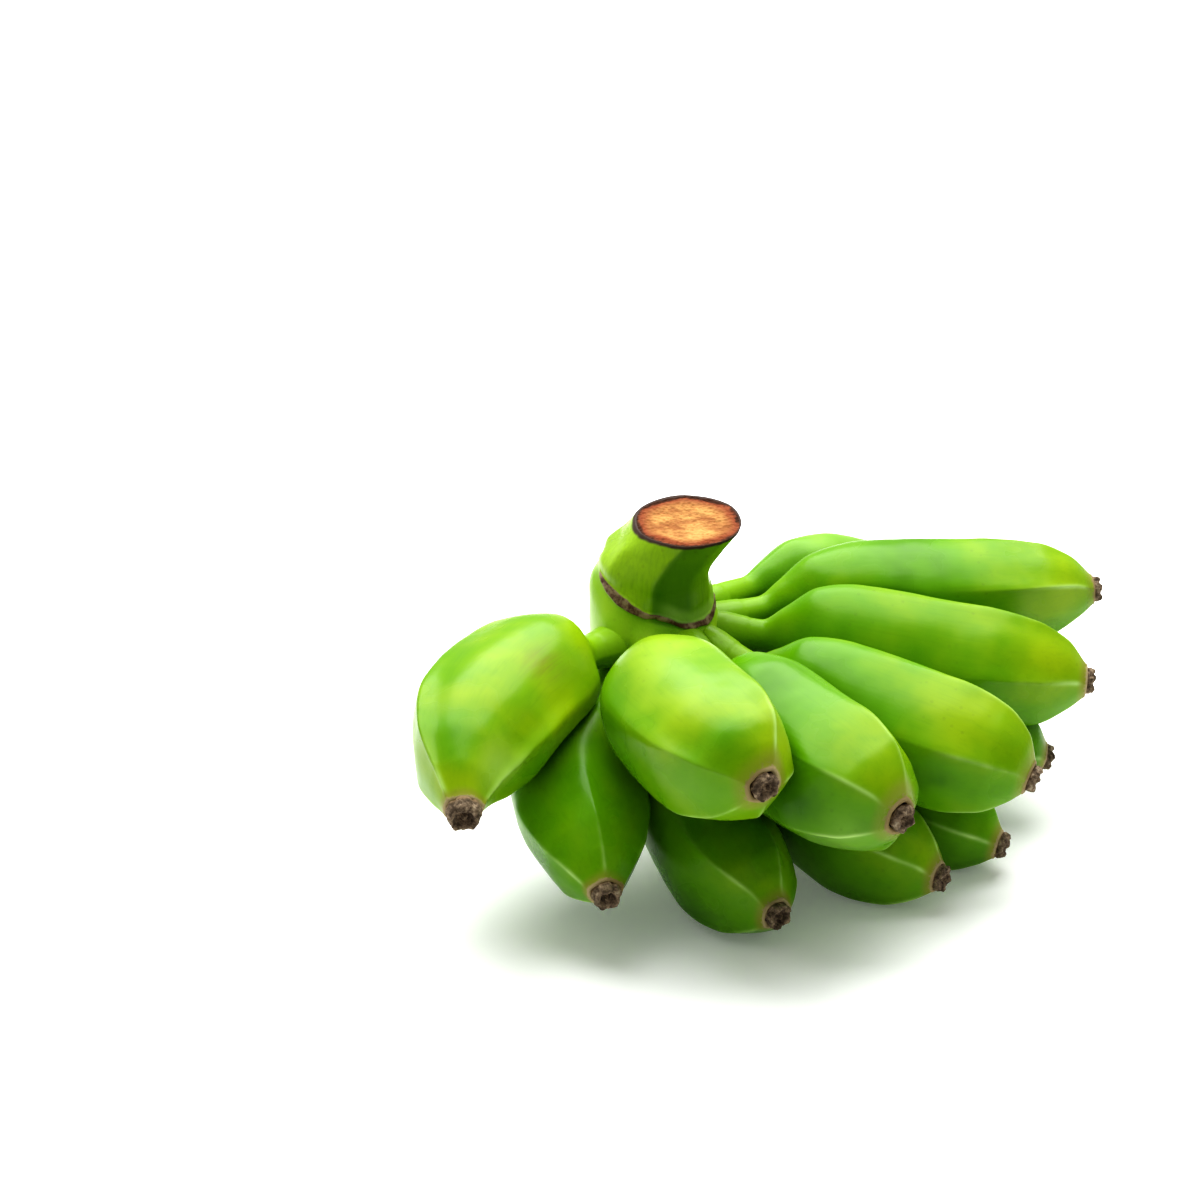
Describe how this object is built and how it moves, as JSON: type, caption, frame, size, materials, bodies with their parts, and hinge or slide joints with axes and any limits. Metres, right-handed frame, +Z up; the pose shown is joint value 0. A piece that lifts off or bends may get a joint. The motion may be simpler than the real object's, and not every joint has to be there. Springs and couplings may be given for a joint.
{
  "type": "bunch of green cooking bananas",
  "caption": "Bunch of short, angular green bananas in two rows, joined to a cut length of stalk and resting on its lower fingers. A food prop to place on a table or in a bowl.",
  "frame": {"origin": "on the surface that the bunch lies on, under the middle of its bounding box", "axes": "+Z is up, -Y is the side it is seen from, and +X is to the right of that view. The cut stalk stands left of the middle, leaning to +X, and the fingers fan from the front (-Y) through +X to the back (+Y)"},
  "size_m": [0.248, 0.2546, 0.1117],
  "materials": {
    "peel": "unripe green banana peel: smooth, waxy, half gloss, paler and yellower on the shoulders and along the ridges",
    "stalk": "green fibrous banana stalk, smooth and slightly ridged, with a brown scar round it and an orange-tan fibrous cut face",
    "flower_end": "dried flower remains, dark brown, matt and rough"
  },
  "bodies": {
    "root": {"stalk": "stalk", "upper_finger_1": "peel", "upper_finger_2": "peel", "upper_finger_3": "peel", "upper_finger_4": "peel", "upper_finger_5": "peel", "upper_finger_6": "peel", "upper_finger_7": "peel", "lower_finger_1": "peel", "lower_finger_2": "peel", "lower_finger_3": "peel", "lower_finger_4": "peel", "lower_finger_5": "peel", "lower_finger_6": "peel", "lower_finger_7": "peel", "lower_finger_8": "peel", "upper_flower_end_1": "flower_end", "upper_flower_end_2": "flower_end", "upper_flower_end_3": "flower_end", "upper_flower_end_4": "flower_end", "upper_flower_end_5": "flower_end", "upper_flower_end_6": "flower_end", "upper_flower_end_7": "flower_end", "lower_flower_end_1": "flower_end", "lower_flower_end_2": "flower_end", "lower_flower_end_3": "flower_end", "lower_flower_end_4": "flower_end", "lower_flower_end_5": "flower_end", "lower_flower_end_6": "flower_end", "lower_flower_end_7": "flower_end", "lower_flower_end_8": "flower_end"}
  },
  "joints": []
}
